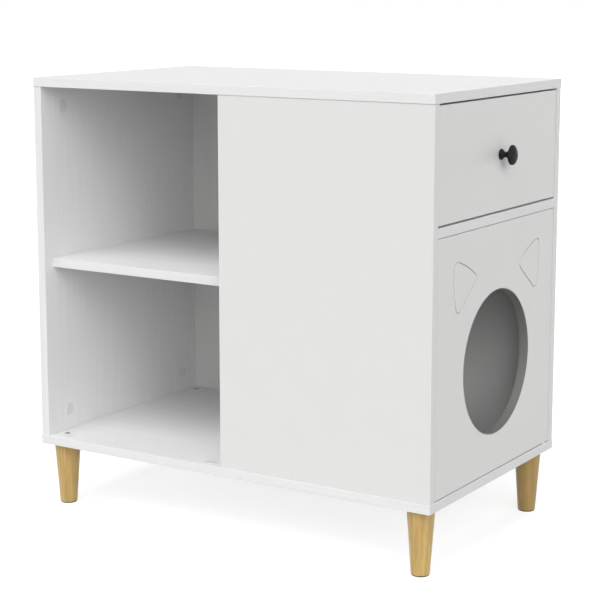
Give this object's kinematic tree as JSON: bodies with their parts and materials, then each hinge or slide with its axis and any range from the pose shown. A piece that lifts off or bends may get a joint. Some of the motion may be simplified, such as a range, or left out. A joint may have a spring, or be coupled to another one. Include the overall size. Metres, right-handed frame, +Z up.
{
  "type": "cat house cabinet",
  "caption": "Long white side cabinet on turned wooden legs: open shelf bay, drawer, and a cat room behind a hinged door with a round way in and engraved ears.",
  "frame": {"origin": "on the floor, below the middle of the whole, knob included", "axes": "+X along the length towards the drawer and the cat door, +Y to the back of the shelf bay, +Z up"},
  "size_m": [0.826, 0.47, 0.778],
  "materials": {
    "white_board": "white melamine faced board",
    "white_front": "plain matt white front",
    "thin_panel": "white faced thin board",
    "pine": "clear lacquered golden wood",
    "felt": "dark felt",
    "beech": "plain fluted dowel wood",
    "zinc": "bright zinc plated",
    "slide_steel": "rolled zinc plated steel",
    "white_plastic": "fine moulded white",
    "ferrite": "dark ground ferrite",
    "black_knob": "matt black",
    "edge_band": "dark grey edge band"
  },
  "bodies": {
    "cabinet": {"top_board": "white_board", "bottom_board": "white_board", "left_end_panel": "white_board", "partition_panel": "white_board", "shelf": "white_board", "divider_board": "white_board", "near_side_panel": "white_front", "far_side_panel": "white_front", "shelf_back_panel": "thin_panel", "leg_near_left": "pine", "leg_near_right": "pine", "leg_far_left": "pine", "leg_far_right": "pine", "foot_pads": "felt", "dowels": "beech", "leg_bolts": "zinc", "leg_inserts": "zinc", "cam_locks": "zinc", "cam_bolts": "zinc", "catch_screws": "zinc", "slide_screws_case": "zinc", "slide_outer_near": "slide_steel", "slide_outer_far": "slide_steel", "cam_covers": "white_plastic", "board_plugs": "white_plastic", "door_bush_top": "white_plastic", "door_bush_bottom": "white_plastic", "catch_body": "white_plastic", "catch_magnet": "ferrite"},
    "drawer": {"drawer_front": "white_front", "drawer_inner_front": "white_board", "drawer_side_near": "white_board", "drawer_side_far": "white_board", "drawer_back": "white_board", "drawer_bottom": "thin_panel", "drawer_box_screws": "zinc", "drawer_front_screws": "zinc", "knob": "black_knob", "knob_screw": "zinc", "slide_inner_near": "slide_steel", "slide_inner_far": "slide_steel", "slide_screws_drawer": "zinc"},
    "slide_middle_near": {"slide_middle_near": "slide_steel"},
    "slide_middle_far": {"slide_middle_far": "slide_steel"},
    "cat_door": {"cat_door": "white_front", "way_in_band": "edge_band", "door_pin_top": "slide_steel", "door_pin_bottom": "slide_steel", "catch_striker": "slide_steel", "striker_screw": "zinc"}
  },
  "joints": [
    {"name": "drawer_slide", "type": "slide", "parent": "cabinet", "child": "drawer", "axis": [1, 0, 0], "range_m": [0, 0.3]},
    {"name": "near_slide_extend", "type": "slide", "parent": "cabinet", "child": "slide_middle_near", "axis": [1, 0, 0], "range_m": [0, 0.15]},
    {"name": "far_slide_extend", "type": "slide", "parent": "cabinet", "child": "slide_middle_far", "axis": [1, 0, 0], "range_m": [0, 0.15]},
    {"name": "cat_door_hinge", "type": "hinge", "parent": "cabinet", "child": "cat_door", "pos_m": [0.38, 0.2005, 0.341], "axis": [0, 0, 1], "range_deg": [0, 105]}
  ],
  "couplings": [
    {"joint": "near_slide_extend", "follows": "drawer_slide", "ratio": 0.5},
    {"joint": "far_slide_extend", "follows": "drawer_slide", "ratio": 0.5}
  ]
}
